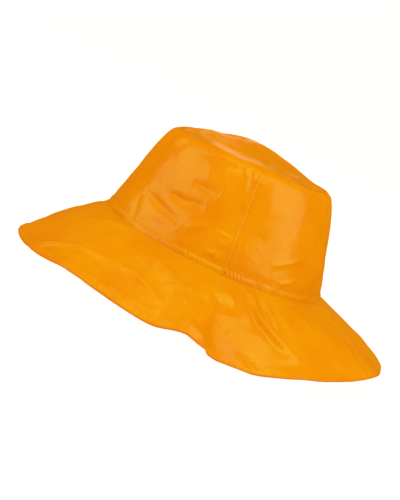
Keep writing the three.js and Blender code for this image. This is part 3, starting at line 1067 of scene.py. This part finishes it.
def make_lamp(lamp):
    """A soft rectangle that faces the hat. Its power gives it the radiance: pi * area * radiance."""
    data = bpy.data.lights.new(lamp.name, "AREA")
    data.shape = "RECTANGLE"
    data.size, data.size_y = lamp.width * MM, lamp.height * MM
    data.energy = np.pi * data.size * data.size_y * lamp.radiance
    data.color = lamp.colour
    light = add_object(lamp.name, data)
    way = direction(lamp.bearing + VIEW_BEARING, lamp.elevation)
    light.location = (Vector(MIDDLE) + Vector((0, 0, LAMP_AIM)) + way * lamp.distance) * MM
    tilt = Matrix.Rotation(np.radians(lamp.tilt), 3, "Z").to_quaternion()
    light.rotation_euler = (way.to_track_quat("Z", "Y") @ tilt).to_euler()
    light.visible_camera = False


def make_sky(settings):
    """A very wide soft light from above the camera, which glossy cloth doesn't mirror, in a dim warm
    room that is pale where the camera sees it."""
    data = bpy.data.lights.new("key", "SUN")
    data.angle = np.radians(KEY_WIDTH)
    data.energy = np.pi * settings.room_light
    data.color = KEY_COLOUR
    data.cycles.use_multiple_importance_sampling = False
    key = add_object("key", data)
    way = direction(VIEW_BEARING + KEY_BEARING, KEY_ELEVATION)
    key.rotation_euler = way.to_track_quat("Z", "Y").to_euler()
    key.visible_glossy = False
    world = bpy.data.worlds.new("pale room")
    bpy.context.scene.world = world
    shader = Shader(world)
    seen = shader.node("LightPath", output="Is Camera Ray")
    background = shader.tree.nodes["Background"]
    colour = shader.mix_colour(seen, shade(settings.room_colour), shade(WHITE))
    mirrored = shader.node("LightPath", output="Is Glossy Ray")
    strength = settings.room_own + mirrored * (settings.room_mirrored - settings.room_own)
    shader.feed(background, {"Color": colour, "Strength": strength + seen})


def make_floor():
    """A pale square just under the hat, unseen in its gloss."""
    steps = np.linspace(-FLOOR_REACH, FLOOR_REACH, 3)
    x, y = np.meshgrid(steps, steps, indexing="ij")
    points = np.stack([x, y, np.full(x.shape, -FLOOR_GAP)], -1)
    floor = mesh_object("floor", points, quads(np.arange(9).reshape(3, 3)).tolist(), [floor_material()])
    floor.visible_glossy = False
    floor.visible_diffuse = False


# Add-on


def colour_property(name, description, default):
    """A colour that the panel shows."""
    return bpy.props.FloatVectorProperty(
        name=name, description=description, subtype="COLOR", size=3, min=0, max=1, default=default
    )


def number_property(name, description, default, top, subtype="NONE"):
    """A number from 0 to a top value that the panel shows."""
    return bpy.props.FloatProperty(
        name=name, description=description, subtype=subtype, min=0, max=top, default=default
    )


class RainHatSettings(bpy.types.PropertyGroup):
    cloth_colour: colour_property("Cloth colour", "Colour of the coat", (0.67, 0.325, 0.001))
    # Also mixed in, darkened, as painted shade in the seams, the tip's hollow and along the hem's edge.
    mottle_and_shade_colour: colour_property(
        "Deep colour", "Colour of the coat's mottling and of its seams", (0.655, 0.275, 0.001)
    )
    thread_colour: colour_property("Thread colour", "Colour of the stitching", (0.69, 0.315, 0.001))
    roughness: number_property("Roughness", "How matt the coated side is", 0.22, 1, "FACTOR")
    wrinkles: number_property("Wrinkles", "Strength of the small waves and crumples", 1.0, 3)
    puckers: number_property("Puckers", "Strength of the gathers beside the seams", 1.0, 3)
    stitch_pitch: number_property("Stitch pitch", "Millimetres from stitch to stitch", 3.3, 20)
    stitch_length: number_property("Stitch length", "Length of a stitch in millimetres", 2.5, 20)
    thread_width: number_property("Thread width", "Width of the thread in millimetres", 0.36, 2)
    room_light: number_property("Room light", "Strength of the even light from above", 0.24, 4)
    room_colour: colour_property("Room's colour", "Colour of the room's own light", (1, 0.36, 0.015))
    room_own: number_property("Room's own light", "Strength of its light on the cloth", 1.12, 4)
    room_mirrored: number_property("Room in the gloss", "Strength of the room in the gloss", 0.7, 4)


class RAINHAT_OT_crown(bpy.types.Operator):
    """Add the two panels of the crown's wall"""

    bl_idname = "rainhat.crown"
    bl_label = "Crown wall"

    def execute(self, context):
        for half in ("front", "back"):
            make_crown_panel(half, context.scene.rain_hat)
        return {"FINISHED"}


class RAINHAT_OT_tip(bpy.types.Operator):
    """Add the oval top of the crown"""

    bl_idname = "rainhat.tip"
    bl_label = "Crown tip"

    def execute(self, context):
        make_tip("crown_tip", context.scene.rain_hat)
        return {"FINISHED"}


class RAINHAT_OT_brim(bpy.types.Operator):
    """Add the two panels of the brim"""

    bl_idname = "rainhat.brim"
    bl_label = "Brim"

    def execute(self, context):
        for half in ("front", "back"):
            make_brim_panel(half, context.scene.rain_hat)
        return {"FINISHED"}


class RAINHAT_OT_stitches(bpy.types.Operator):
    """Add the topstitching over the brim seam and along the hem"""

    bl_idname = "rainhat.stitches"
    bl_label = "Stitches"

    def execute(self, context):
        make_stitches(context.scene.rain_hat)
        return {"FINISHED"}


class RAINHAT_OT_stage(bpy.types.Operator):
    """Add the floor, the lights and the camera"""

    bl_idname = "rainhat.stage"
    bl_label = "Stage"

    def execute(self, context):
        context.scene.view_settings.view_transform = "Standard"
        make_sky(context.scene.rain_hat)
        make_floor()
        for lamp in LAMPS:
            make_lamp(lamp)
        make_camera()
        return {"FINISHED"}


class RAINHAT_PT_panel(bpy.types.Panel):
    """The settings, and a button for each group of pieces"""

    bl_label = "Rain hat"
    bl_space_type = "VIEW_3D"
    bl_region_type = "UI"
    bl_category = "Rain hat"

    def draw(self, context):
        for name in RainHatSettings.__annotations__:
            self.layout.prop(context.scene.rain_hat, name)
        for operator in OPERATORS:
            self.layout.operator(operator.bl_idname)


OPERATORS = (
    RAINHAT_OT_crown,
    RAINHAT_OT_tip,
    RAINHAT_OT_brim,
    RAINHAT_OT_stitches,
    RAINHAT_OT_stage,
)
CLASSES = (RainHatSettings, *OPERATORS, RAINHAT_PT_panel)


def register():
    for cls in CLASSES:
        bpy.utils.register_class(cls)
    bpy.types.Scene.rain_hat = bpy.props.PointerProperty(type=RainHatSettings)


def unregister():
    del bpy.types.Scene.rain_hat
    for cls in reversed(CLASSES):
        bpy.utils.unregister_class(cls)


def main():
    register()
    bpy.ops.rainhat.crown()
    bpy.ops.rainhat.tip()
    bpy.ops.rainhat.brim()
    bpy.ops.rainhat.stitches()
    bpy.ops.rainhat.stage()


if __name__ == "__main__":
    main()
